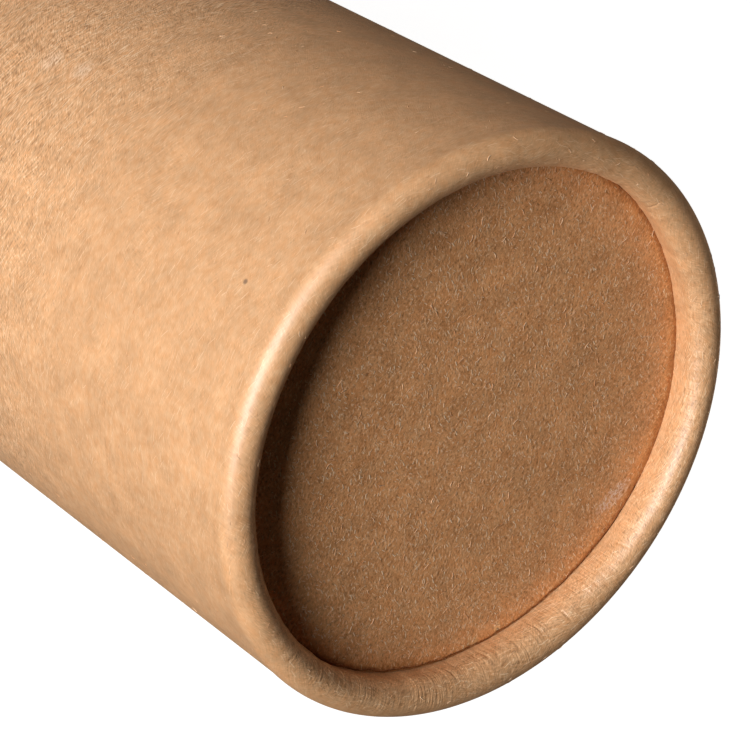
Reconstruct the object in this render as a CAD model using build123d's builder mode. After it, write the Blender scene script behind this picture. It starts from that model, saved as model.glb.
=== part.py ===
"""Round cardboard box: a wound tube with a lift-off lid, each closed by a disc held under a rolled-in rim."""

import os
from math import asin, cos, degrees, radians, tan

from build123d import *

# Driving dimensions in millimetres, angles in degrees

# Wound tube that the lid and the body are both cut from
outer_diameter = 75.0
wall_thickness = 1.5
lid_height = 80.0
body_height = 80.0
mouth_round = 0.3

# Rolled-in rim at the closed end of the lid and of the body
roll_hollow_radius = 0.8
crest_land = 0.8
leg_drop = 2.9
leg_tuck_angle = 9.0

# Discs that close the lid and the body
disc_thickness = 1.5
disc_clearance = 0.1

# Neck glued inside the body, which guides the lid
neck_wall = 1.2
neck_rise = 25.0
neck_clearance = 0.3
neck_lead_in = 0.4

# Sizes that follow from the driving dimensions
outer_radius = outer_diameter / 2
bore_radius = outer_radius - wall_thickness
roll_radius = roll_hollow_radius + wall_thickness
box_height = body_height + lid_height
land_half_angle = degrees(asin(crest_land / 2 / roll_radius))
roll_centre_depth = roll_radius * cos(radians(land_half_angle))
disc_recess = roll_centre_depth + leg_drop
disc_radius = bore_radius - disc_clearance
neck_radius = bore_radius - neck_clearance
neck_foot = disc_recess + disc_thickness
neck_top = body_height + neck_rise

# The foot of the body stands on the floor, and the crest of the lid is the top of the box
foot_plane = Plane.XZ
crest_plane = Plane(origin=(0, 0, box_height), x_dir=(1, 0, 0), z_dir=(0, 1, 0))


def roll_arc(centre, radius, start, end):
    """One surface of the rolled board, turned from the start angle to the end angle about the roll's centre."""
    return CenterArc(centre, radius, start, end - start)


def leg_tip(roll, depth):
    """Point at a depth below the crest where the board runs straight on from the end of a roll's arc."""
    start = roll @ 1
    lean = tan(radians(leg_tuck_angle)) * (depth - start.Y)
    return (start.X + lean, depth)


def rolled_wall(height):
    """Half section of the wall: X is the radius, and Y runs from the crest of the roll to the open mouth."""
    centre = (outer_radius - roll_radius, roll_centre_depth)
    crest_angle = -90
    inside_angle = -180 - leg_tuck_angle
    with BuildSketch() as section:
        with BuildLine():
            outer_roll = roll_arc(centre, roll_radius, 0, crest_angle + land_half_angle)
            inner_roll = roll_arc(centre, roll_radius, crest_angle - land_half_angle, inside_angle)
            hollow = roll_arc(centre, roll_hollow_radius, 0, inside_angle)
            leg_face = Line(inner_roll @ 1, leg_tip(inner_roll, disc_recess))
            leg_back = Line(hollow @ 1, leg_tip(hollow, disc_recess))
            Line(outer_roll @ 1, inner_roll @ 0)
            Line(leg_face @ 1, leg_back @ 1)
            outside = Line(outer_roll @ 0, (outer_radius, height))
            inside = Line(hollow @ 0, (bore_radius, height))
            Line(outside @ 1, inside @ 1)
        make_face()
        mouth_corners = section.vertices().group_by(Axis.Y)[-1]
        fillet(mouth_corners, radius=min(mouth_round, wall_thickness / 3))
    return section.sketch


# Lid: the upper length of tube, rolled in over its disc

with BuildPart() as lid_tube:
    with BuildSketch(crest_plane):
        add(rolled_wall(lid_height))
    revolve(axis=Axis.Z)
lid_tube.part.label = "lid_tube"

with BuildPart() as lid_disc:
    with BuildSketch(Plane.XY.offset(box_height - disc_recess)):
        Circle(disc_radius)
    extrude(amount=-disc_thickness)
lid_disc.part.label = "lid_disc"

# Body: the lower length of tube, rolled in under its disc

with BuildPart() as body_tube:
    with BuildSketch(foot_plane):
        add(rolled_wall(body_height))
    revolve(axis=Axis.Z)
body_tube.part.label = "body_tube"

with BuildPart() as base_disc:
    with BuildSketch(Plane.XY.offset(disc_recess)):
        Circle(disc_radius)
    extrude(amount=disc_thickness)
base_disc.part.label = "base_disc"

# Neck: an inner tube that stands on the base disc and rises past the mouth of the body into the lid

with BuildPart() as neck_tube:
    with BuildSketch(Plane.XY.offset(neck_foot)):
        Circle(neck_radius)
        Circle(neck_radius - neck_wall, mode=Mode.SUBTRACT)
    extrude(amount=neck_top - neck_foot)
    rim_edges = neck_tube.edges().group_by(Axis.Z)[-1].sort_by(SortBy.RADIUS)
    chamfer(rim_edges[-1], length=min(neck_lead_in, neck_wall / 2))
neck_tube.part.label = "neck_tube"

os.makedirs("parts", exist_ok=True)
for piece in (lid_tube, lid_disc, body_tube, base_disc, neck_tube):
    export_step(piece.part, f"parts/{piece.part.label}.step")
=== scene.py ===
"""Round kraft cardboard box: walls with rolled, pleated rims, recessed discs, a neck and loose fibres."""
import math

import bpy
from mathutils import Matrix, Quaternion, Vector


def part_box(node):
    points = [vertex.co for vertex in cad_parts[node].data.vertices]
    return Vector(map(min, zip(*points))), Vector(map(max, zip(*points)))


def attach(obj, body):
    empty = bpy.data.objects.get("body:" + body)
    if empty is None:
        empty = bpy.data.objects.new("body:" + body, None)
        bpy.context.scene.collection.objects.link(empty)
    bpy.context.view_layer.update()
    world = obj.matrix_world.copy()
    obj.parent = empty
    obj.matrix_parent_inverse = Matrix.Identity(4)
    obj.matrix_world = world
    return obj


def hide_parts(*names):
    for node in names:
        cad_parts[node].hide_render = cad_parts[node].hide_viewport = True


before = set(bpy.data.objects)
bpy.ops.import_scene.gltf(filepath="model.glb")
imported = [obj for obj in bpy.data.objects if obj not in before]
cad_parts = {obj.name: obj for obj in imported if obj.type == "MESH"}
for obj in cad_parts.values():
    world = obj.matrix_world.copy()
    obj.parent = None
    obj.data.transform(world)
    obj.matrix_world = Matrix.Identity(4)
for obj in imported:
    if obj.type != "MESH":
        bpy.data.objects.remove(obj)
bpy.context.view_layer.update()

bl_info = {
    "name": "Kraft cylinder box",
    "version": (1, 0, 0),
    "blender": (4, 5, 0),
    "location": "View3D > Sidebar > Box",
    "description": "Dresses a round cardboard box in kraft paper, with rolled rims and recessed discs",
    "category": "Object",
}

MM = 0.001

# Places in the frame, in metres
LID_LOW, LID_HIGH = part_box("lid_tube")
BODY_LOW, BODY_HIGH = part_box("body_tube")
LID_DISC_LOW, LID_DISC_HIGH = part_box("lid_disc")
BASE_DISC_LOW, BASE_DISC_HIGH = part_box("base_disc")
NECK_LOW, NECK_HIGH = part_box("neck_tube")
# Room between the paper and the frame's box, which the loose fibres fill
NAP = 0.1 * MM
OUTER_RADIUS = LID_HIGH[0] - NAP
CREST = LID_HIGH[2] - NAP
FOOT = BODY_LOW[2] + NAP
DISC_RADIUS = LID_DISC_HIGH[0]
NECK_RADIUS = NECK_HIGH[0]


class BoxSizes(bpy.types.PropertyGroup):
    """Sizes of the board and of its rolled rims"""
    wall: bpy.props.FloatProperty(
        name="Wall", description="Thickness of the wound wall", default=1.5 * MM, unit="LENGTH")
    roll_hollow: bpy.props.FloatProperty(
        name="Roll hollow", description="Radius of the hollow inside the rolled rim", default=0.8 * MM,
        unit="LENGTH")
    leg_tuck: bpy.props.FloatProperty(
        name="Leg tuck", description="Angle by which the rim's leg leans back under the roll",
        default=math.radians(9), subtype="ANGLE")
    bead_bulge: bpy.props.FloatProperty(
        name="Bead bulge", description="How far the rolled rim stands out from the wall below it",
        default=0.1 * MM, unit="LENGTH")
    mouth_round: bpy.props.FloatProperty(
        name="Mouth round", description="Radius on the corners of the cut mouth", default=0.3 * MM,
        unit="LENGTH")
    neck_wall: bpy.props.FloatProperty(
        name="Neck wall", description="Thickness of the neck", default=1.2 * MM, unit="LENGTH")
    neck_round: bpy.props.FloatProperty(
        name="Neck round", description="Radius on the corners of the neck", default=0.35 * MM, unit="LENGTH")
    fold_depth: bpy.props.FloatProperty(
        name="Fold depth", description="Depth of the soft folds round the rolled rim", default=0.06 * MM,
        unit="LENGTH")
    fold_pitch: bpy.props.FloatProperty(
        name="Fold pitch", description="Distance between the soft folds", default=1.7 * MM, unit="LENGTH")
    crease_depth: bpy.props.FloatProperty(
        name="Crease depth", description="Depth of the few strong creases in the rim", default=0.18 * MM,
        unit="LENGTH")
    rim_sway: bpy.props.FloatProperty(
        name="Rim sway", description="How far the rim's leg strays from a true circle", default=0.12 * MM,
        unit="LENGTH")
    seam_wobble: bpy.props.FloatProperty(
        name="Seam wobble", description="Unevenness of the line where the rim's leg meets the disc",
        default=0.22 * MM, unit="LENGTH")
    groove: bpy.props.FloatProperty(
        name="Groove", description="Width and depth of the groove in the disc that the rim's leg stands in",
        default=0.17 * MM, unit="LENGTH")
    disc_sway: bpy.props.FloatProperty(
        name="Disc sway", description="Height of the disc's gentle unevenness", default=0.06 * MM,
        unit="LENGTH")
    seed: bpy.props.IntProperty(name="Seed", description="Seed of the loose fibres", default=7)


class KraftFinish(bpy.types.PropertyGroup):
    """Colours and texture of the kraft paper"""
    wall_colour: bpy.props.FloatVectorProperty(
        name="Wall", description="Paper of the walls", default=(0.68, 0.364, 0.170), subtype="COLOR",
        min=0, max=1)
    disc_colour: bpy.props.FloatVectorProperty(
        name="Disc", description="Paper of the discs", default=(0.72, 0.319, 0.120), subtype="COLOR",
        min=0, max=1)
    neck_colour: bpy.props.FloatVectorProperty(
        name="Neck", description="Paper of the neck", default=(0.60, 0.33, 0.155), subtype="COLOR",
        min=0, max=1)
    pale_fibre: bpy.props.FloatVectorProperty(
        name="Pale fibre", description="Bleached pulp fibres", default=(0.92, 0.68, 0.45), subtype="COLOR",
        min=0, max=1)
    dark_fibre: bpy.props.FloatVectorProperty(
        name="Dark fibre", description="Brown pulp fibres", default=(0.33, 0.145, 0.052), subtype="COLOR",
        min=0, max=1)
    fibre_length: bpy.props.FloatProperty(
        name="Fibre length", description="Length of the pulp fibres", default=0.9 * MM, unit="LENGTH")
    fibre_width: bpy.props.FloatProperty(
        name="Fibre width", description="Width of the pulp fibres", default=0.28 * MM, unit="LENGTH")


class StageSetup(bpy.types.PropertyGroup):
    """Camera and studio light"""
    camera_place: bpy.props.FloatVectorProperty(
        name="Camera", description="Place of the camera", default=(0, -255.9 * MM, 389.6 * MM),
        subtype="TRANSLATION", unit="LENGTH")
    camera_aim: bpy.props.FloatVectorProperty(
        name="Aim", description="Point in the middle of the image",
        default=(1.07 * MM, -22.33 * MM, LID_HIGH[2]), subtype="TRANSLATION", unit="LENGTH")
    camera_roll: bpy.props.FloatProperty(
        name="Roll", description="Turn of the camera about its line of sight", default=math.radians(-122.1),
        subtype="ANGLE")
    camera_lens: bpy.props.FloatProperty(
        name="Lens", description="Focal length on a 36 mm sensor", default=141.13, unit="CAMERA")
    key_azimuth: bpy.props.FloatProperty(
        name="Key azimuth", description="Direction of the main light round the box", default=math.radians(21),
        subtype="ANGLE")
    key_elevation: bpy.props.FloatProperty(
        name="Key elevation", description="Angle of the main light above the lid's top",
        default=math.radians(19.6), subtype="ANGLE")
    key_power: bpy.props.FloatProperty(
        name="Key power", description="Power of the main light", default=13.9, unit="POWER")
    fill_power: bpy.props.FloatProperty(
        name="Fill power", description="Power of the soft light behind the box", default=4.4, unit="POWER")
    surround: bpy.props.FloatProperty(
        name="Surround", description="Strength of the light from all round", default=0.025)


class Wire:
    """A socket that takes part in Python sums: each sum adds its Math node to the tree"""

    def __init__(self, sheet, socket):
        self.sheet = sheet
        self.socket = socket

    def sum(self, operation, *values, clamp=False):
        numbered = dict(enumerate(values))
        return self.sheet.node("ShaderNodeMath", numbered, operation=operation, use_clamp=clamp)(0)

    def __add__(self, other):
        return self.sum("ADD", self, other)

    def __radd__(self, other):
        return self.sum("ADD", other, self)

    def __sub__(self, other):
        return self.sum("SUBTRACT", self, other)

    def __rsub__(self, other):
        return self.sum("SUBTRACT", other, self)

    def __mul__(self, other):
        return self.sum("MULTIPLY", self, other)

    def __rmul__(self, other):
        return self.sum("MULTIPLY", other, self)

    def __truediv__(self, other):
        return self.sum("DIVIDE", self, other)

    def __rtruediv__(self, other):
        return self.sum("DIVIDE", other, self)

    def __pow__(self, other):
        return self.sum("POWER", self, other)

    def __abs__(self):
        return self.sum("ABSOLUTE", self)

    def __gt__(self, other):
        return self.sum("GREATER_THAN", self, other)

    def clamped(self):
        return self.sum("ADD", self, 0.0, clamp=True)

    def rounded(self):
        return self.sum("ROUND", self)

    def sine(self):
        return self.sum("SINE", self)

    def cosine(self):
        return self.sum("COSINE", self)


class Sheet:
    """A node tree with one method for any node, and short forms for vectors and colours"""

    def __init__(self, tree):
        self.tree = tree

    def node(self, kind, values=None, **settings):
        """Adds a node with its inputs and settings, and returns what finds its outputs by name

        A list of values links each of them to the one input.
        """
        made = self.tree.nodes.new(kind)
        for key, value in settings.items():
            setattr(made, key, value)
        for key, value in (values or {}).items():
            socket = self.find(made.inputs, key)
            for one in value if isinstance(value, list) else [value]:
                self.plug(socket, one)
        return lambda name: Wire(self, self.find(made.outputs, name))

    @staticmethod
    def find(sockets, key):
        if isinstance(key, int):
            return sockets[key]
        return next(socket for socket in sockets if socket.name == key and not socket.is_unavailable)

    def plug(self, socket, value):
        if isinstance(value, Wire):
            self.tree.links.new(value.socket, socket)
        elif socket.type == "RGBA":
            socket.default_value = (*value[:3], 1.0)
        else:
            socket.default_value = value

    def vector(self, operation, *values, scale=None):
        slots = dict(enumerate(values))
        if scale is not None:
            slots["Scale"] = scale
        made = self.node("ShaderNodeVectorMath", slots, operation=operation)
        return made("Value" if operation in ("DOT_PRODUCT", "LENGTH", "DISTANCE") else "Vector")

    def parts(self, vector):
        made = self.node("ShaderNodeSeparateXYZ", {0: vector})
        return made("X"), made("Y"), made("Z")

    def joined(self, x, y, z):
        return self.node("ShaderNodeCombineXYZ", {"X": x, "Y": y, "Z": z})("Vector")

    def mix(self, factor, first, second):
        made = self.node("ShaderNodeMix", {"Factor": factor, "A": first, "B": second}, data_type="RGBA")
        return made("Result")

    def noise(self, place, scale, detail=2.0, roughness=0.5):
        values = {"Vector": place, "Scale": scale, "Detail": detail, "Roughness": roughness}
        return self.node("ShaderNodeTexNoise", values, noise_dimensions="3D")("Fac")


def sizes():
    """The sizes that the panel shows"""
    return bpy.context.scene.box_sizes


def finish():
    """The finish that the panel shows"""
    return bpy.context.scene.kraft_finish


# Azimuths in degrees from the front towards +X: where the rolled rims are most wrinkled, and where the
# disc's painted edge shade is faintest
ROUGH_SIDE = 145
EDGE_SHADE_FREE = -150


# Kraft paper: tints of its washed blotches and of the light painted on its roll, and the colour of its cut
# edge
WASHED_TINT = (0.98, 1.10, 1.26)
PAINTED_LIGHT_TINT = (1.12, 1.08, 1.02)
CUT_COLOUR = (0.58, 0.35, 0.18)


class Paper:
    """A shader's place on its sheet of paper, in millimetres, with a copy that wanders slowly

    A kind of paper says how slender and thick its fibres are beside those of the finish, how its two
    layers of pulp are turned, how far they stray in millimetres and how widely the clear fibres spread.
    """

    def __init__(self, sheet):
        self.sheet = sheet
        self.object_place = sheet.node("ShaderNodeTexCoord")("Object")
        self.place = sheet.vector("SCALE", self.chart(), scale=1 / MM)
        slow = {"Vector": self.place, "Scale": 0.07, "Detail": 1.0}
        drift = sheet.node("ShaderNodeTexNoise", slow)("Color")
        stray = sheet.vector("SCALE", sheet.vector("SUBTRACT", drift, (0.5, 0.5, 0.5)), scale=self.stray)
        self.wandering = sheet.vector("ADD", self.place, stray)

    def facing(self, azimuth):
        """How nearly the place faces an azimuth in degrees, as 1 to -1"""
        turn = math.radians(azimuth)
        level = self.sheet.vector("MULTIPLY", self.object_place, (1, 1, 0))
        reach = self.sheet.vector("DOT_PRODUCT", level, (math.sin(turn), -math.cos(turn), 0))
        return reach / self.sheet.vector("LENGTH", level)


class TubePaper(Paper):
    """Paper wound round a tube, fibres mostly round it: smooth towards the rim and polished on the roll"""
    slender = 1.45
    thick = 0.75
    turns = (0.15, -0.75)
    stray = 9.0
    spread = 0.5
    # Millimetres along the section from the start of the roll: the smooth wall's end, the stretch
    # over which it coarsens, and the end of the polished roll and its leg
    smooth_end = -33.0
    coarsening = 30.0
    polish_end = 12.5

    def __init__(self, sheet):
        super().__init__(sheet)
        pleat = sheet.node("ShaderNodeAttribute", attribute_name="pleat")("Fac")
        self.pleat = pleat * (0.25 + 0.75 * (self.facing(ROUGH_SIDE) + 0.5).clamped())
        run = sheet.parts(self.place)[1]
        coarse = ((self.smooth_end - run) / self.coarsening).clamped()
        self.grain = 0.45 + 2.3 * coarse + 1.1 * self.pleat
        self.polish_and_painted_light = run.clamped() * (self.polish_end - run).clamped()

    def chart(self):
        return self.sheet.node("ShaderNodeUVMap", uv_map="UVMap")("UV")


class DiscPaper(Paper):
    """Flat paper: short fibres that lie mostly one way"""
    slender = 0.66
    thick = 1.4
    turns = (-0.9, 0.1)
    stray = 4.5
    spread = 1.1
    pleat = None
    grain = 1.0
    polish_and_painted_light = 0.0

    def chart(self):
        return self.object_place


def pulp(paper, length, width, turn, shift):
    """Soft streaks of pulp: noise drawn out along one direction"""
    sheet = paper.sheet
    turned = sheet.node("ShaderNodeVectorRotate", {"Vector": paper.wandering, "Angle": turn},
                        rotation_type="Z_AXIS")("Vector")
    drawn = sheet.vector("MULTIPLY", turned, (1 / length, 1 / width, 0))
    return sheet.noise(sheet.vector("ADD", drawn, (0, 0, shift)), 1.0, 2.0, 0.65)


def strokes(paper, length, width, turn, shift, rarity):
    """Mask of one layer of fibres: each cell holds one bent stroke, and most strokes are faint"""
    sheet = paper.sheet
    cell_width = length * 0.32
    along_axis = (math.cos(turn) / length, math.sin(turn) / length, 0)
    across_axis = (-math.sin(turn) / cell_width, math.cos(turn) / cell_width, 0)
    place = sheet.joined(sheet.vector("DOT_PRODUCT", paper.place, along_axis) + shift,
                         sheet.vector("DOT_PRODUCT", paper.place, across_axis) + shift, 0.0)
    cells = sheet.node("ShaderNodeTexVoronoi", {"Vector": place, "Scale": 1.0}, voronoi_dimensions="2D")
    along, across = sheet.parts(sheet.vector("SUBTRACT", place, cells("Position")))[:2]
    lean, bow, weight = sheet.parts(cells("Color"))
    lean_share = 2 * math.tan(paper.spread) * length / cell_width
    bow_share = 2.2
    bent = across - (lean - 0.5) * lean_share * along - (bow - 0.5) * bow_share * along * along
    half_width = 0.5 * width / cell_width
    body = (1.4 - abs(bent) / half_width).clamped()
    half_length = 0.46
    end_sharpness = 9
    ends = ((half_length - abs(along)) * end_sharpness).clamped()
    return body * ends * weight ** rarity


def paper_ground(paper, colour, mottle, cloud, blotch, streak, strand):
    """Colour of the paper: washed blotches and clouds, dark and pale streaks, and a few clear fibres"""
    sheet = paper.sheet
    look = finish()
    washed = tuple(tint * part for tint, part in zip(WASHED_TINT, colour))
    ground = sheet.mix((2.4 * blotch - 0.7).clamped(), colour[:], washed)
    uneven = 0.25 * (cloud - 0.5) + 0.08 * (blotch - 0.5)
    tone = 1.0 + mottle * (uneven + 0.55 * paper.grain * (streak - 0.5))
    ground = sheet.vector("SCALE", ground, scale=tone)
    dark = ((0.44 - streak) * 4.0 * mottle).clamped() * (0.5 * paper.grain)
    ground = sheet.mix(dark, ground, look.dark_fibre)
    pale = ((streak - 0.57) * 5.0 * mottle).clamped() * (0.7 * paper.grain)
    ground = sheet.mix(pale, ground, look.pale_fibre)
    clear = 0.2 + 0.2 * paper.grain ** 1.5
    ground = sheet.mix((strand * clear * mottle).clamped(), ground, look.pale_fibre)
    # Painted light: the roll is lightened where light and sheen fall on its crest
    if paper.pleat:
        painted_light = sheet.vector("MULTIPLY", ground, PAINTED_LIGHT_TINT)
        ground = sheet.mix(paper.polish_and_painted_light, ground, painted_light)
    return ground


def paper_height(paper, relief, blotch, streak, strand):
    """Relief of the paper in millimetres: pulp, clear fibres and, on a tube, blotches and fine folds"""
    sheet = paper.sheet
    height = relief * ((0.030 + 0.015 * paper.grain) * streak + 0.012 * strand)
    if paper.pleat:
        fine = sheet.noise(sheet.vector("MULTIPLY", paper.place, (2.6, 0.34, 0)), 1.0, 2.0, 0.6)
        fading = (3.0 * sheet.noise(paper.place, 0.16, 1.0) - 0.9).clamped()
        folds = paper.pleat * (0.3 + 0.7 * fading) * (0.13 * fine)
        height = height + 0.02 * blotch + folds
    return height


def new_material(name):
    """A new material, its shader and the sheet of its tree"""
    material = bpy.data.materials.new(name)
    material.use_nodes = True
    tree = material.node_tree
    return material, tree.nodes["Principled BSDF"], Sheet(tree)


def bumped(sheet, height):
    """Normal of a surface with a relief in millimetres"""
    return sheet.node("ShaderNodeBump", {"Strength": 1.0, "Distance": MM, "Height": height})("Normal")


def kraft_material(name, colour, paper_kind, mottle, relief, gloss, marks=None):
    """Kraft paper: mottled pulp with a fine relief and a soft sheen, and a coat where it is polished"""
    material, shader, sheet = new_material(name)
    paper = paper_kind(sheet)
    look = finish()
    length = paper.slender * look.fibre_length / MM
    width = paper.thick * look.fibre_width / MM
    cloud = sheet.noise(paper.place, 0.22, 3.0, 0.6)
    blotch = sheet.noise(paper.place, 0.9, 1.0)
    streak = 0.5 * (pulp(paper, length, width, paper.turns[0], 0.0) +
                    pulp(paper, 0.7 * length, 0.8 * width, paper.turns[1], 7.0))
    strand = strokes(paper, 1.3 * length, 0.4 * width, -paper.turns[0], 1.3, 4.0)
    ground = paper_ground(paper, colour, mottle, cloud, blotch, streak, strand)
    if marks:
        ground = marks(sheet, paper, streak, ground)
    rough = (0.78 - 0.35 * gloss) + 0.14 * (cloud - 0.5) - 0.2 * (streak - 0.5) + 0.05 * paper.polish_and_painted_light
    height = paper_height(paper, relief, blotch, streak, strand)
    sheet.plug(shader.inputs["Base Color"], ground)
    sheet.plug(shader.inputs["Roughness"], rough)
    sheet.plug(shader.inputs["Coat Weight"], 0.7 * paper.polish_and_painted_light)
    sheet.plug(shader.inputs["Normal"], bumped(sheet, height))
    shader.inputs["Coat Roughness"].default_value = 0.55
    shader.inputs["Specular IOR Level"].default_value = gloss
    return material


# Marks on the walls and the discs: colours, tints, and sizes and places in metres
# A place on the lid's wall is its azimuth in degrees and its drop below the crest
BARK_COLOUR = (0.16, 0.10, 0.07)
BARK_PLACE = (-0.2, 9.8 * MM)
BARK_REACH = 0.42 * MM
SCUFF_COLOUR = (0.97, 0.82, 0.66)
SCUFF_PLACES = ((-16.6, 62.7 * MM), (-17.8, 56.8 * MM))
SCUFF_REACH = 2.0 * MM
GLUE_COLOUR = (0.86, 0.72, 0.62)
GLUE_PLACE = (-1.7 * MM, 30.6 * MM, LID_DISC_HIGH[2])
GLUE_RUN = Vector((-0.94, 0.34, 0)).normalized()
GLUE_HALF_SIZE = (3.4 * MM, 1.3 * MM, 1.0 * MM)
# Painted shade along the disc's edge beside the rim's leg, and a yellower tint painted there for bounced
# light
EDGE_SHADE_WIDTH = 2.6 * MM
EDGE_SHADE_TINT = (0.60, 0.52, 0.44)
PAINTED_BOUNCE_TINT = (1.0, 0.98, 0.80)
# Painted shade in the groove where the rim's leg stands
GROOVE_SHADE_COLOUR = (0.30, 0.10, 0.03)


def rim_point(azimuth, drop):
    """Point on the lid's outer wall: azimuth in degrees from the front towards +X, drop below the crest"""
    turn = math.radians(azimuth)
    return Vector((OUTER_RADIUS * math.sin(turn), -OUTER_RADIUS * math.cos(turn), CREST - drop))


def spot(sheet, paper, centre, reach):
    """Soft mask round a point of the frame"""
    return (1.0 - sheet.vector("DISTANCE", paper.object_place, centre) / reach).clamped()


def wall_marks(sheet, paper, streak, ground):
    """A dark bark speck on the lid's wall and two pale scuffs"""
    speck = spot(sheet, paper, rim_point(*BARK_PLACE), BARK_REACH)
    ground = sheet.mix((speck * 2.2).clamped() * 0.75, ground, BARK_COLOUR)
    for place in SCUFF_PLACES:
        scuff = spot(sheet, paper, rim_point(*place), SCUFF_REACH)
        ground = sheet.mix((scuff * (6.0 * streak - 2.7)).clamped() * 0.8, ground, SCUFF_COLOUR)
    return ground


def glue_smear(sheet, paper, streak, ground):
    """A whitish smear of glue beside the lid's rim"""
    offset = sheet.vector("SUBTRACT", paper.object_place, GLUE_PLACE)
    axes = (GLUE_RUN, Vector((-GLUE_RUN.y, GLUE_RUN.x, 0)), (0, 0, 1))
    away = 0.0
    for axis, half_size in zip(axes, GLUE_HALF_SIZE):
        share = sheet.vector("DOT_PRODUCT", offset, axis) / half_size
        away = away + share * share
    patchy = (9.0 * streak - 4.1).clamped()
    return sheet.mix((1.0 - away).clamped() ** 0.5 * patchy * 0.75, ground, GLUE_COLOUR)


def painted_edge_shade(sheet, paper, ground):
    """Painted shade along the foot of the rim's leg, and a yellower tint painted there for bounced light"""
    radius = sheet.vector("LENGTH", sheet.vector("MULTIPLY", paper.object_place, (1, 1, 0)))
    near = ((radius - leg_foot(CREST - LID_DISC_HIGH[2])) / EDGE_SHADE_WIDTH + 1.0).clamped()
    # Painted shade is faintest on the disc's lit side
    toward = paper.facing(EDGE_SHADE_FREE)
    strength = 0.8 * (0.8 - 0.7 * toward) * (1.2 + toward)
    shaded = sheet.vector("MULTIPLY", ground, EDGE_SHADE_TINT)
    ground = sheet.mix((near * near * strength).clamped(), ground, shaded)
    # Painted bounce light: the disc's edge is tinted yellower
    return sheet.mix(near * near, ground, sheet.vector("MULTIPLY", ground, PAINTED_BOUNCE_TINT))


def disc_marks(sheet, paper, streak, ground):
    """Glue smear on the disc; painted shade and bounce light along its edge; painted shade in the leg's
    groove
    """
    ground = painted_edge_shade(sheet, paper, glue_smear(sheet, paper, streak, ground))
    # Painted shade: the groove and its lip beside the rim's leg are darkened
    groove_shade = sheet.node("ShaderNodeAttribute", attribute_name="leg")("Fac")
    return sheet.mix(groove_shade * (1.4 - 1.4 * streak).clamped(), ground, GROOVE_SHADE_COLOUR)


def cut_material():
    """Cut edge of wound board: fine plies round the ring"""
    material, shader, sheet = new_material("kraft_cut_edge")
    place = sheet.vector("SCALE", sheet.node("ShaderNodeTexCoord")("Object"), scale=1 / MM)
    radius = sheet.vector("LENGTH", sheet.vector("MULTIPLY", place, (1, 1, 0)))
    rough = sheet.noise(place, 4.0, 4.0, 0.65)
    ply_pitch = 0.3
    phase = (radius + 0.12 * rough) * (2 * math.pi / ply_pitch)
    ply = phase.sine() * 0.5 + 0.5
    tone = 0.78 + 0.22 * ply + 0.35 * (rough - 0.5)
    ground = sheet.vector("SCALE", CUT_COLOUR, scale=tone)
    sheet.plug(shader.inputs["Base Color"], ground)
    sheet.plug(shader.inputs["Roughness"], 0.75 + 0.2 * (rough - 0.5))
    sheet.plug(shader.inputs["Normal"], bumped(sheet, 0.05 * ply + 0.1 * rough))
    shader.inputs["Specular IOR Level"].default_value = 0.3
    return material


def fibre_material():
    """Loose pulp fibre: pale, each strand with its own tint"""
    material, shader, sheet = new_material("loose_fibre")
    tint = sheet.node("ShaderNodeAttribute", attribute_name="tint")("Fac")
    ground = sheet.mix(tint, finish().wall_colour[:], finish().pale_fibre[:])
    sheet.plug(shader.inputs["Base Color"], ground)
    sheet.plug(shader.inputs["Roughness"], 0.5 + 0.15 * tint)
    shader.inputs["Specular IOR Level"].default_value = 0.5
    return material


# Half sections, each a list of rows

class Row:
    """One ring of a revolved piece: radius and depth below the crest, with what the ring carries"""

    def __init__(self, radius, depth, pleat=0.0, leg=0.0, lift=0.0, cut=0.0, fuzz=0.0):
        self.run = 0.0
        self.radius = radius
        self.depth = depth
        self.pleat = pleat
        self.leg = leg
        self.lift = lift
        self.cut = cut
        self.fuzz = fuzz


def measured(rows, start=0):
    """Gives each row its run, the way along the section from the row at start"""
    for before, here in zip(rows, rows[1:]):
        here.run = before.run + math.hypot(here.radius - before.radius, here.depth - before.depth)
    zero = rows[start].run
    for row in rows:
        row.run -= zero
    return rows


def shares(count, first=0.0, last=1.0):
    """Even steps from first to last, both included"""
    return [first + (last - first) * step / (count - 1) for step in range(count)]


def eased(share):
    """Smooth rise from 0 to 1"""
    share = min(max(share, 0.0), 1.0)
    return share * share * (3 - 2 * share)


def corner_steps(count, radius):
    """Inset and drop at each step round a quarter of a rounded corner, from none to the full radius"""
    turns = [0.5 * math.pi * share for share in shares(count)]
    return [(radius * (1 - math.cos(turn)), radius * math.sin(turn)) for turn in turns]


# Share of the loose fibres that the plain wall carries
WALL_FUZZ = 0.25
# Height over which the wall spreads out to the rim's bead
FLARE = 1.5 * MM
# Angles on the roll, in radians, from which its pleats and its sway grow, and over which they do so
PLEATS_FROM, PLEATS_OVER = 0.6, 1.2
SWAY_FROM, SWAY_OVER = 1.4, 1.6


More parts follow.
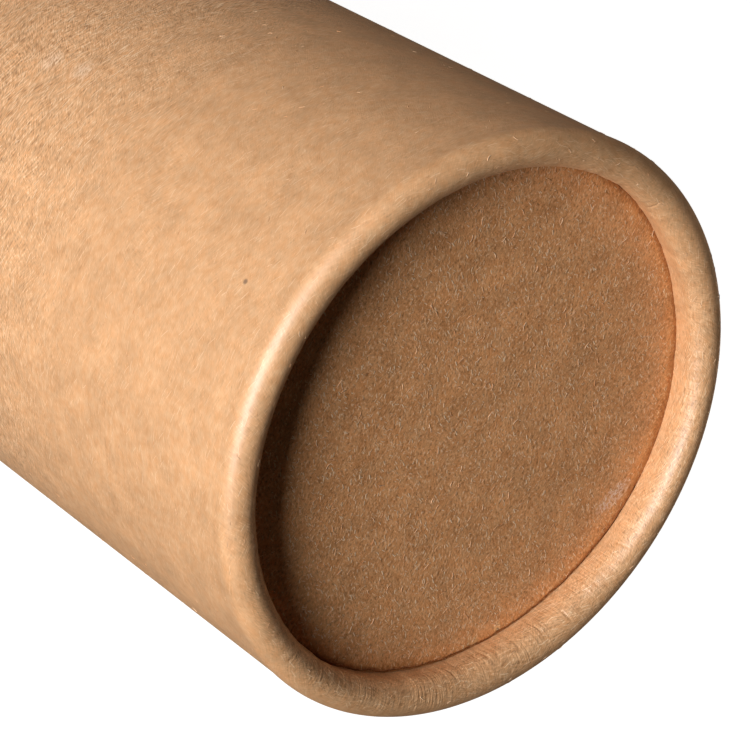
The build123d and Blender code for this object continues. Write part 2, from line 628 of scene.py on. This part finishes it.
def rolled_rows(height, recess):
    """Half section of a wall whose closed end is rolled in and turned down on the disc"""
    size = sizes()
    roll = size.roll_hollow + size.wall
    centre_radius = OUTER_RADIUS - roll
    outside = OUTER_RADIUS - size.bead_bulge
    bore = OUTER_RADIUS - size.wall
    mouth = height - size.mouth_round
    rows = [Row(outside, mouth + (roll + FLARE - mouth) * share, fuzz=WALL_FUZZ) for share in shares(4)]
    for share in shares(7)[1:]:
        radius = outside + size.bead_bulge * eased(share)
        rows.append(Row(radius, roll + FLARE * (1 - share), fuzz=WALL_FUZZ))
    roll_start = len(rows) - 1
    roll_end = math.pi + size.leg_tuck
    for share in shares(32)[1:]:
        angle = roll_end * share
        pleat = eased((angle - PLEATS_FROM) / PLEATS_OVER)
        leg = eased((angle - SWAY_FROM) / SWAY_OVER)
        radius = centre_radius + roll * math.cos(angle)
        rows.append(Row(radius, roll - roll * math.sin(angle), pleat=pleat, leg=leg, fuzz=0.5 + 1.5 * pleat))
    tip_round = 0.08 * size.wall
    leg_end = recess + 0.8 * size.groove - tip_round
    start_radius, start_depth = rows[-1].radius, rows[-1].depth
    for share in shares(8)[1:]:
        depth = start_depth + (leg_end - start_depth) * share
        radius = start_radius + (depth - start_depth) * math.tan(size.leg_tuck)
        rows.append(Row(radius, depth, pleat=1.0 - 0.6 * share, leg=1.0, fuzz=0.5 * (1 - share)))
    radius = rows[-1].radius
    for inset, drop in corner_steps(4, tip_round)[1:]:
        rows.append(Row(radius + inset, leg_end + drop, leg=1.0))
    rows.append(Row(radius + size.wall / math.cos(size.leg_tuck), leg_end + tip_round, leg=1.0))
    for share in shares(6, 1.0, 0.0):
        angle = roll_end * share
        radius = centre_radius + size.roll_hollow * math.cos(angle)
        rows.append(Row(radius, roll - size.roll_hollow * math.sin(angle)))
    rows.append(Row(bore, height * 0.5))
    corner = corner_steps(4, size.mouth_round)
    rows += [Row(bore + inset, mouth + drop, cut=1.0) for inset, drop in corner]
    rows += [Row(outside - inset, mouth + drop, cut=1.0) for inset, drop in corner[:0:-1]]
    rows.append(Row(outside, mouth))
    return measured(rows, roll_start)


def leg_foot(recess):
    """Radius at which the rim's leg meets the disc"""
    size = sizes()
    roll = size.roll_hollow + size.wall
    turned_in = OUTER_RADIUS - roll - roll * math.cos(size.leg_tuck)
    return turned_in + (recess - roll - roll * math.sin(size.leg_tuck)) * math.tan(size.leg_tuck)


def disc_rows(thickness, recess):
    """Half section of a closing disc: inner face, edge, the groove for the rim's leg and the outer face"""
    size = sizes()
    lip = 1.5 * size.groove
    face = leg_foot(recess) - size.groove - lip
    floor = 1.3 * size.groove
    rows = [Row(face * share, 0.0, lift=1.0 - share ** 6, fuzz=1.0) for share in shares(20, 0.0, 0.985)]
    for angle in (0, 20, 40, 60, 75, 90):
        turn = math.radians(angle)
        rows.append(Row(face + lip * math.sin(turn), lip * (1 - math.cos(turn)), leg=1.0))
    rows.append(Row(face + lip, floor, leg=1.0))
    rows.append(Row(DISC_RADIUS, floor, cut=1.0))
    rows.append(Row(DISC_RADIUS, thickness, cut=1.0))
    rows += [Row(DISC_RADIUS * share, thickness) for share in shares(5, 0.97, 0.0)]
    return measured(rows[::-1])


def neck_rows(height):
    """Half section of the neck, from its foot up the outside, over its mouth and down the inside"""
    size = sizes()
    bore = NECK_RADIUS - size.neck_wall
    corner = size.neck_round
    steps = corner_steps(5, corner)
    rows = [Row(NECK_RADIUS, height - corner), Row(NECK_RADIUS, 0.5 * height)]
    rows += [Row(NECK_RADIUS - inset, corner - drop, cut=1.0) for inset, drop in steps]
    rows += [Row(bore + inset, corner - drop, cut=1.0) for inset, drop in steps[::-1]]
    rows.append(Row(bore, 0.5 * height))
    rows.append(Row(bore, height))
    rows.append(Row(NECK_RADIUS - corner, height))
    rows.append(Row(NECK_RADIUS, height - corner))
    return measured(rows)


# What each ring carries to the surface
ROW_VALUES = ("run", "pleat", "leg", "lift", "cut", "fuzz")


def section_mesh(name, rows, crest, downwards):
    """Mesh that carries a half section: a chain of points in the XZ plane with the rings' values"""
    if not downwards:
        rows = rows[::-1]
    step = -1.0 if downwards else 1.0
    points = [Vector((row.radius, 0.0, crest + step * row.depth)) for row in rows]
    closed = (points[0] - points[-1]).length < 1e-9
    ends = (points[-2], points[1]) if closed else (points[0], points[-1])
    chain = [ends[0], *points, ends[1]]
    facings = []
    for before, after in zip(chain, chain[2:]):
        along = (after - before).normalized()
        facings.append(Vector((along.z, 0.0, -along.x)))
    mesh = bpy.data.meshes.new(name)
    mesh.from_pydata(points, [(place, place + 1) for place in range(len(points) - 1)], [])
    for key in ROW_VALUES:
        values = [getattr(row, key) for row in rows]
        mesh.attributes.new(key, "FLOAT", "POINT").data.foreach_set("value", values)
    flat = [number for facing in facings for number in facing]
    mesh.attributes.new("facing", "FLOAT_VECTOR", "POINT").data.foreach_set("vector", flat)
    return mesh


# Strong creases in the lid's rim, in degrees: azimuth, angle on the roll and half length along the roll
CREASES = ((134, 185, 42), (124, 165, 30), (148, 180, 34), (155, 146, 30), (175, 168, 30), (-96, 142, 26))
CREASE_HALF_WIDTH = 0.22 * MM
CREASE_WANDER = 0.2 * MM

# Where the rim's leg drifts inwards or outwards: azimuth and half width in degrees, and reach in metres
RIM_DRIFTS = ((140, 42, -0.45 * MM), (-165, 48, 0.35 * MM))

# Azimuth in degrees where the disc comes closest to the rim's leg
GAP_CLOSED = -130


def facing_azimuth(sine, cosine, azimuth):
    """How nearly a turn faces an azimuth, as 1 to -1, and how far it is beside it"""
    heading = math.radians(azimuth - 90)
    toward = sine * math.sin(heading) + cosine * math.cos(heading)
    side = sine * math.cos(heading) - cosine * math.sin(heading)
    return toward, side


def new_tree(name, inputs):
    """Geometry tree with a geometry in and out and named inputs; returns its sheet and its inputs"""
    tree = bpy.data.node_groups.new(name, "GeometryNodeTree")
    tree.interface.new_socket(name="Geometry", in_out="INPUT", socket_type="NodeSocketGeometry")
    for key, kind in inputs:
        tree.interface.new_socket(name=key, in_out="INPUT", socket_type="NodeSocket" + kind)
    tree.interface.new_socket(name="Geometry", in_out="OUTPUT", socket_type="NodeSocketGeometry")
    sheet = Sheet(tree)
    return sheet, sheet.node("NodeGroupInput")


def end_tree(sheet, geometry):
    """Links the finished geometry to the tree's output"""
    sheet.node("NodeGroupOutput", {"Geometry": geometry})


REVOLVE_INPUTS = (
    ("Segments", "Int"), ("Rows", "Int"), ("Fold depth", "Float"), ("Fold pitch", "Float"),
    ("Crease depth", "Float"), ("Rim sway", "Float"), ("Seam wobble", "Float"), ("Gap wobble", "Float"),
    ("Disc sway", "Float"), ("Shift", "Float"), ("Paper", "Material"), ("Cut edge", "Material"),
)


def carried(sheet, key, kind="FLOAT"):
    """Value of a named attribute"""
    return sheet.node("GeometryNodeInputNamedAttribute", {"Name": key}, data_type=kind)("Attribute")


def stored(sheet, geometry, key, value, kind="FLOAT", domain="POINT"):
    """Geometry with a named attribute added"""
    values = {"Geometry": geometry, "Name": key, "Value": value}
    return sheet.node("GeometryNodeStoreNamedAttribute", values, data_type=kind, domain=domain)("Geometry")


def rim_dip(sheet, given, value, sine, cosine):
    """How deep the soft folds and the strong creases dip into the rim"""
    # Round place in millimetres, for noise that closes on itself
    reach = OUTER_RADIUS / MM
    around = sheet.joined(cosine * reach, sine * reach, value["run"] * (0.12 / MM))
    around = sheet.vector("ADD", around, sheet.joined(given("Shift"), given("Shift"), 0.0))
    folds = sheet.noise(around, MM / given("Fold pitch"), 2.0, 0.55)
    uneven_depth = (3.0 * sheet.noise(around, 0.12, 1.0) - 0.9).clamped()
    dip = given("Fold depth") * value["pleat"] * folds * uneven_depth
    roll = sizes().roll_hollow + sizes().wall
    crease = 0.0
    for azimuth, angle, half_length in CREASES:
        toward, side = facing_azimuth(sine, cosine, azimuth)
        away = (value["run"] - roll * math.radians(angle)) / (roll * math.radians(half_length))
        beside = abs(side * OUTER_RADIUS + CREASE_WANDER * away)
        narrow = (1.0 - beside / CREASE_HALF_WIDTH).clamped()
        crease = crease + narrow * narrow * (1.0 - away * away).clamped() * (toward > 0.0)
    return dip + given("Crease depth") * crease * value["pleat"]


def leg_sway(sheet, given, sine, cosine):
    """How far the rim's leg and the disc's groove stray from a true circle"""
    ring = sheet.joined(cosine, sine, given("Shift"))
    sway = given("Rim sway") * (2.0 * sheet.noise(ring, 1.6, 1.0) - 1.0)
    sway = sway + given("Seam wobble") * (2.0 * sheet.noise(ring, 9.0, 3.0, 0.6) - 1.0)
    closing = 1.1 * (3.0 * facing_azimuth(sine, cosine, GAP_CLOSED)[0] - 1.6).clamped()
    sway = sway + given("Gap wobble") * (closing + 2.0 * sheet.noise(ring, 14.0, 2.0, 0.6) - 1.0)
    for azimuth, half_width, reach in RIM_DRIFTS:
        toward = facing_azimuth(sine, cosine, azimuth)[0]
        near = (1.0 - (1.0 - toward) / (1.0 - math.cos(math.radians(half_width)))).clamped()
        sway = sway + reach * near * near
    return sway


def revolve_tree():
    """Turns a half section round the upright axis and works the pleats, creases and sway into it"""
    sheet, given = new_tree("revolved_board", REVOLVE_INPUTS)
    grid = sheet.node("GeometryNodeMeshGrid", {
        "Size X": 1.0, "Size Y": 1.0, "Vertices X": given("Segments") + 1, "Vertices Y": given("Rows")})
    x, y = sheet.parts(sheet.node("GeometryNodeInputPosition")("Position"))[:2]
    # The first and the last column meet at the back, +Y
    turn = (x + 0.5) * (2 * math.pi) + 0.5 * math.pi
    row = ((y + 0.5) * (given("Rows") - 1)).rounded()

    def sampled(value, kind):
        values = {"Geometry": given("Geometry"), "Value": value, "Index": row}
        return sheet.node("GeometryNodeSampleIndex", values, data_type=kind)("Value")

    value = {key: sampled(carried(sheet, key), "FLOAT") for key in ROW_VALUES}
    place = sampled(sheet.node("GeometryNodeInputPosition")("Position"), "FLOAT_VECTOR")
    facing = sampled(carried(sheet, "facing", "FLOAT_VECTOR"), "FLOAT_VECTOR")
    sine = turn.sine()
    cosine = turn.cosine()
    radius, level = sheet.parts(place)[::2]
    out, up = sheet.parts(facing)[::2]
    dip = rim_dip(sheet, given, value, sine, cosine)
    spread_out = sheet.joined(cosine * radius / MM, sine * radius / MM, given("Shift"))
    uneven = 2.0 * sheet.noise(spread_out, 0.06, 1.0) - 1.0
    radius = radius - dip * out + value["leg"] * leg_sway(sheet, given, sine, cosine)
    level = level - dip * up + given("Disc sway") * value["lift"] * uneven

    chart = sheet.joined(turn * OUTER_RADIUS, value["run"], 0.0)
    flat = stored(sheet, grid("Mesh"), "UVMap", chart, "FLOAT2", "CORNER")
    for key in ("cut", "fuzz", "pleat", "leg"):
        flat = stored(sheet, flat, key, value[key])
    moved = sheet.node("GeometryNodeSetPosition", {
        "Geometry": flat, "Position": sheet.joined(radius * cosine, radius * sine, level)})
    closed = sheet.node("GeometryNodeMergeByDistance", {
        "Geometry": moved("Geometry"), "Distance": 0.002 * MM})
    smooth = sheet.node("GeometryNodeSetShadeSmooth", {"Geometry": closed("Geometry"), "Shade Smooth": True})
    real = sheet.node("GeometryNodeRealizeInstances", {"Geometry": smooth("Geometry")})
    papered = sheet.node("GeometryNodeSetMaterial", {
        "Geometry": real("Geometry"), "Material": given("Paper")})
    edged = sheet.node("GeometryNodeSetMaterial", {
        "Geometry": papered("Geometry"), "Selection": carried(sheet, "cut") > 0.9,
        "Material": given("Cut edge")})
    end_tree(sheet, edged("Geometry"))
    return sheet.tree


FUZZ_INPUTS = (
    ("Density", "Float"), ("Length", "Float"), ("Thickness", "Float"), ("Round share", "Float"),
    ("Seed", "Int"), ("Fibre", "Material"),
)

# Bends of the loose fibres in shares of their length: sideways bow, and rise of the middle and the free end
FIBRE_BENDS = ((0.25, 0.08, 0.00), (-0.18, 0.10, 0.02), (0.10, 0.04, 0.06), (-0.35, 0.08, 0.01))


def fuzz_tree():
    """Scatters short bent fibres over a surface, lying on it with their ends in the paper"""
    sheet, given = new_tree("loose_fibres", FUZZ_INPUTS)
    density = given("Density") * carried(sheet, "fuzz")
    spread = sheet.node("GeometryNodeDistributePointsOnFaces", {
        "Mesh": given("Geometry"), "Density": density, "Seed": given("Seed")}, distribute_method="RANDOM")

    def chance(low, high, offset, kind="FLOAT"):
        return sheet.node("FunctionNodeRandomValue", {
            "Min": low, "Max": high, "Seed": given("Seed") + offset}, data_type=kind)("Value")

    thread = sheet.node("GeometryNodeCurvePrimitiveCircle", {
        "Resolution": 3, "Radius": 0.5 * given("Thickness") / given("Length")})("Curve")
    kinds = []
    for bow, rise, end_rise in FIBRE_BENDS:
        line = sheet.node("GeometryNodeCurveQuadraticBezier", {
            "Resolution": 6, "Start": (-0.5, 0.0, -0.01), "Middle": (0.0, bow, rise),
            "End": (0.5, 0.0, end_rise)})
        strand = sheet.node("GeometryNodeCurveToMesh", {
            "Curve": line("Curve"), "Profile Curve": thread, "Fill Caps": True})
        kinds.append(strand("Mesh"))
    strands = sheet.node("GeometryNodeGeometryToInstance", {"Geometry": kinds})("Instances")
    x, y = sheet.parts(sheet.node("GeometryNodeInputPosition")("Position"))[:2]
    upright = sheet.node("FunctionNodeAlignRotationToVector", {
        "Vector": spread("Normal")}, axis="Z")("Rotation")
    level = sheet.node("FunctionNodeAlignRotationToVector", {
        "Rotation": upright, "Vector": sheet.joined(-1 * y, x, 0.0)}, axis="X", pivot_axis="Z")("Rotation")
    swing = chance(-1.0, 1.0, 1) * (math.pi * (1.0 - given("Round share")))
    turned = sheet.node("FunctionNodeAxisAngleToRotation", {"Axis": (0, 0, 1), "Angle": swing})("Rotation")
    laid = sheet.node("FunctionNodeRotateRotation", {"Rotation": level, "Rotate By": turned},
                      rotation_space="LOCAL")("Rotation")
    scale = given("Length") * chance(0.35, 1.35, 2)
    placed = sheet.node("GeometryNodeInstanceOnPoints", {
        "Points": spread("Points"), "Instance": strands, "Pick Instance": True,
        "Instance Index": chance(0, len(FIBRE_BENDS) - 1, 3, "INT"), "Rotation": laid,
        "Scale": sheet.joined(scale, scale, scale)})
    tinted = stored(sheet, placed("Instances"), "tint", chance(0.0, 1.0, 4), domain="INSTANCE")
    real = sheet.node("GeometryNodeRealizeInstances", {"Geometry": tinted})
    smooth = sheet.node("GeometryNodeSetShadeSmooth", {"Geometry": real("Geometry"), "Shade Smooth": True})
    coloured = sheet.node("GeometryNodeSetMaterial", {
        "Geometry": smooth("Geometry"), "Material": given("Fibre")})
    end_tree(sheet, coloured("Geometry"))
    return sheet.tree


def run_tree(name, mesh, tree, values):
    """Evaluates a tree on a mesh and keeps the result as a plain mesh object at the origin"""
    source = bpy.data.objects.new(name + "_source", mesh)
    bpy.context.collection.objects.link(source)
    modifier = source.modifiers.new("tree", "NODES")
    modifier.node_group = tree
    for item in tree.interface.items_tree:
        if item.item_type == "SOCKET" and item.in_out == "INPUT" and item.name in values:
            modifier[item.identifier] = values[item.name]
    graph = bpy.context.evaluated_depsgraph_get()
    made = bpy.data.meshes.new_from_object(source.evaluated_get(graph), depsgraph=graph)
    if not made.polygons:
        raise RuntimeError("no faces came out of " + tree.name + " for " + name)
    source.modifiers.remove(modifier)
    bpy.data.objects.remove(source)
    made.name = name
    piece = bpy.data.objects.new(name, made)
    bpy.context.collection.objects.link(piece)
    return piece


def shared_tree(name, make):
    """The tree of that name, made once"""
    return bpy.data.node_groups.get(name) or make()


def shared_material(name, make):
    """The material of that name, made once"""
    return bpy.data.materials.get(name) or make()


def revolved_piece(name, rows, crest, downwards, segments, paper, shift):
    """A board piece turned from its half section"""
    size = sizes()
    mesh = section_mesh(name + "_section", rows, crest, downwards)
    values = {
        "Segments": segments, "Rows": len(rows), "Fold depth": size.fold_depth, "Fold pitch": size.fold_pitch,
        "Crease depth": size.crease_depth if name == "lid_wall" else 0.0,
        "Rim sway": size.rim_sway, "Seam wobble": size.seam_wobble,
        "Gap wobble": 1.6 * size.seam_wobble if name.endswith("face") else 0.0,
        "Disc sway": size.disc_sway, "Shift": shift, "Paper": paper,
        "Cut edge": shared_material("kraft_cut_edge", cut_material),
    }
    return run_tree(name, mesh, shared_tree("revolved_board", revolve_tree), values)


# Steps round each piece, and where each half of the box takes its share of the noise
WALL_SEGMENTS, DISC_SEGMENTS, NECK_SEGMENTS = 1440, 720, 360
LID_SHIFT, BODY_SHIFT, NECK_SHIFT = 3.0, 91.0, 60.0


def seated(piece, body, node):
    """Fixes a finished piece to its body in place of its solid"""
    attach(piece, body)
    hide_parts(node)


class KRAFT_OT_walls(bpy.types.Operator):
    """Make the walls of the lid and the body, with their rolled and pleated rims"""
    bl_idname = "kraft.walls"
    bl_label = "Walls"

    def execute(self, context):
        look = context.scene.kraft_finish
        paper = kraft_material("kraft_wall", look.wall_colour, TubePaper,
                               mottle=2.4, relief=0.9, gloss=1.0, marks=wall_marks)
        lid_rows = rolled_rows(CREST - LID_LOW[2], CREST - LID_DISC_HIGH[2])
        lid = revolved_piece("lid_wall", lid_rows, CREST, True, WALL_SEGMENTS, paper, LID_SHIFT)
        seated(lid, "lid", "lid_tube")
        body_rows = rolled_rows(BODY_HIGH[2] - FOOT, BASE_DISC_LOW[2] - FOOT)
        body = revolved_piece("body_wall", body_rows, FOOT, False, WALL_SEGMENTS, paper, BODY_SHIFT)
        seated(body, "box_body", "body_tube")
        return {"FINISHED"}


class KRAFT_OT_discs(bpy.types.Operator):
    """Make the discs that close the lid and the body"""
    bl_idname = "kraft.discs"
    bl_label = "Discs"

    def execute(self, context):
        colour = context.scene.kraft_finish.disc_colour
        paper = kraft_material("kraft_disc", colour, DiscPaper,
                               mottle=3.0, relief=2.4, gloss=0.3, marks=disc_marks)
        rows = disc_rows(LID_DISC_HIGH[2] - LID_DISC_LOW[2], CREST - LID_DISC_HIGH[2])
        lid = revolved_piece("lid_face", rows, LID_DISC_HIGH[2], True, DISC_SEGMENTS, paper, LID_SHIFT)
        seated(lid, "lid", "lid_disc")
        base = revolved_piece("base_face", rows, BASE_DISC_LOW[2], False, DISC_SEGMENTS, paper, BODY_SHIFT)
        seated(base, "box_body", "base_disc")
        return {"FINISHED"}


class KRAFT_OT_neck(bpy.types.Operator):
    """Make the neck that guides the lid"""
    bl_idname = "kraft.neck"
    bl_label = "Neck"

    def execute(self, context):
        colour = context.scene.kraft_finish.neck_colour
        paper = kraft_material("kraft_neck", colour, TubePaper, mottle=2.0, relief=0.9, gloss=0.5)
        rows = neck_rows(NECK_HIGH[2] - NECK_LOW[2])
        neck = revolved_piece("neck_sleeve", rows, NECK_HIGH[2], True, NECK_SEGMENTS, paper, NECK_SHIFT)
        seated(neck, "box_body", "neck_tube")
        return {"FINISHED"}


# Loose fibres on each surface: its body, fibres on a square millimetre, their length in millimetres, and
# how far they lie round the box, from 0 for any way to 1 for all of them
FIBRE_SURFACES = (
    ("lid_wall", "lid", 0.12, 0.55, 0.7), ("lid_face", "lid", 0.24, 0.75, 0.0),
    ("body_wall", "box_body", 0.12, 0.55, 0.7), ("base_face", "box_body", 0.24, 0.75, 0.0),
)
FIBRE_THICKNESS = 0.06 * MM


class KRAFT_OT_fuzz(bpy.types.Operator):
    """Scatter the loose fibres over the walls, the rims and the discs"""
    bl_idname = "kraft.fuzz"
    bl_label = "Loose fibres"

    def execute(self, context):
        size = context.scene.box_sizes
        for offset, (surface, body, per_square_mm, length, round_share) in enumerate(FIBRE_SURFACES):
            values = {
                "Density": per_square_mm / MM ** 2, "Length": length * MM, "Thickness": FIBRE_THICKNESS,
                "Round share": round_share, "Seed": size.seed + offset,
                "Fibre": shared_material("loose_fibre", fibre_material),
            }
            mesh = bpy.data.objects[surface].data.copy()
            piece = run_tree(surface + "_fibres", mesh, shared_tree("loose_fibres", fuzz_tree), values)
            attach(piece, body)
        return {"FINISHED"}


# Lamps, in metres and radians: distance from the middle of the lid's top, and their widths and heights
LAMP_DISTANCE = 1.0
KEY_SIZE = (1.05, 0.4)
FILL_SIZE = (0.3, 0.14)
FILL_AZIMUTH = math.radians(195)
FILL_ELEVATION = math.radians(-5)
# The floor as the camera sees it and as it lights the box, and the tint of the light from all round
FLOOR_REACH = 3.0
FLOOR_SEEN = (0.55, 0.55, 0.55)
FLOOR_BOUNCE = (0.46, 0.34, 0.24)
FLOOR_GLOW = 0.9
SURROUND_TINT = (1.0, 0.80, 0.62)
WHITE = (1, 1, 1)


class KRAFT_OT_stage(bpy.types.Operator):
    """Set the floor, the studio light and the camera"""
    bl_idname = "kraft.stage"
    bl_label = "Stage"

    def execute(self, context):
        setup = context.scene.stage_setup
        self.floor()
        self.light("key_light", setup.key_azimuth, setup.key_elevation, KEY_SIZE, setup.key_power)
        fill = self.light("fill_light", FILL_AZIMUTH, FILL_ELEVATION, FILL_SIZE, setup.fill_power)
        fill.visible_glossy = False
        self.surround(setup.surround)
        self.camera(setup)
        context.scene.view_settings.view_transform = "Standard"
        return {"FINISHED"}

    @staticmethod
    def floor():
        mesh = bpy.data.meshes.new("floor")
        corners = [(FLOOR_REACH * x, FLOOR_REACH * y, 0) for x, y in ((-1, -1), (1, -1), (1, 1), (-1, 1))]
        mesh.from_pydata(corners, [], [(0, 1, 2, 3)])
        floor = bpy.data.objects.new("floor", mesh)
        bpy.context.collection.objects.link(floor)
        material = bpy.data.materials.new("pale_floor")
        material.use_nodes = True
        tree = material.node_tree
        sheet = Sheet(tree)
        seen = sheet.node("ShaderNodeLightPath")("Is Camera Ray")
        pale = sheet.mix(seen, FLOOR_BOUNCE, FLOOR_SEEN)
        matt = sheet.node("ShaderNodeBsdfDiffuse", {"Color": pale})("BSDF")
        glow = sheet.node("ShaderNodeEmission", {"Color": WHITE, "Strength": FLOOR_GLOW * seen})("Emission")
        both = sheet.node("ShaderNodeAddShader", {0: matt, 1: glow})("Shader")
        tree.links.new(both.socket, tree.nodes["Material Output"].inputs["Surface"])
        mesh.materials.append(material)

    @staticmethod
    def light(name, azimuth, elevation, size, power):
        level = math.cos(elevation)
        heading = Vector((level * math.sin(azimuth), -level * math.cos(azimuth), math.sin(elevation)))
        middle = Vector((0, 0, LID_HIGH[2]))
        place = middle + LAMP_DISTANCE * heading
        data = bpy.data.lights.new(name, "AREA")
        data.shape = "ELLIPSE"
        data.size, data.size_y = size
        data.energy = power
        lamp = bpy.data.objects.new(name, data)
        lamp.location = place
        lamp.rotation_euler = (middle - place).to_track_quat("-Z", "Y").to_euler()
        bpy.context.collection.objects.link(lamp)
        return lamp

    @staticmethod
    def surround(strength):
        world = bpy.data.worlds.new("soft_surround")
        world.use_nodes = True
        bpy.context.scene.world = world
        tree = world.node_tree
        sheet = Sheet(tree)
        seen = sheet.node("ShaderNodeLightPath")("Is Camera Ray")
        level = strength + (1.0 - strength) * seen
        warm = sheet.mix(seen, SURROUND_TINT, WHITE)
        sheet.plug(tree.nodes["Background"].inputs["Color"], warm)
        sheet.plug(tree.nodes["Background"].inputs["Strength"], level)

    @staticmethod
    def camera(setup):
        data = bpy.data.cameras.new("camera")
        data.sensor_width = 36.0
        data.lens = setup.camera_lens
        data.clip_start = 0.01
        camera = bpy.data.objects.new("camera", data)
        place = Vector(setup.camera_place)
        sight = (Vector(setup.camera_aim) - place).to_track_quat("-Z", "Y")
        camera.location = place
        camera.rotation_euler = (sight @ Quaternion((0, 0, 1), -setup.camera_roll)).to_euler()
        bpy.context.collection.objects.link(camera)
        bpy.context.scene.camera = camera


class KRAFT_PT_box(bpy.types.Panel):
    """Sizes, finish and pieces of the box"""
    bl_idname = "KRAFT_PT_box"
    bl_label = "Kraft box"
    bl_space_type = "VIEW_3D"
    bl_region_type = "UI"
    bl_category = "Box"

    def draw(self, context):
        for group in (context.scene.box_sizes, context.scene.kraft_finish, context.scene.stage_setup):
            column = self.layout.column()
            for key in group.__annotations__:
                column.prop(group, key)
        for operator in OPERATORS:
            self.layout.operator(operator.bl_idname)


OPERATORS = (KRAFT_OT_walls, KRAFT_OT_discs, KRAFT_OT_neck, KRAFT_OT_fuzz, KRAFT_OT_stage)
CLASSES = (BoxSizes, KraftFinish, StageSetup, *OPERATORS, KRAFT_PT_box)


def register():
    for each in CLASSES:
        bpy.utils.register_class(each)
    bpy.types.Scene.box_sizes = bpy.props.PointerProperty(type=BoxSizes)
    bpy.types.Scene.kraft_finish = bpy.props.PointerProperty(type=KraftFinish)
    bpy.types.Scene.stage_setup = bpy.props.PointerProperty(type=StageSetup)


def unregister():
    del bpy.types.Scene.stage_setup
    del bpy.types.Scene.kraft_finish
    del bpy.types.Scene.box_sizes
    for each in reversed(CLASSES):
        bpy.utils.unregister_class(each)


def main():
    register()
    bpy.ops.kraft.walls()
    bpy.ops.kraft.discs()
    bpy.ops.kraft.neck()
    bpy.ops.kraft.fuzz()
    bpy.ops.kraft.stage()


if __name__ == "__main__":
    main()
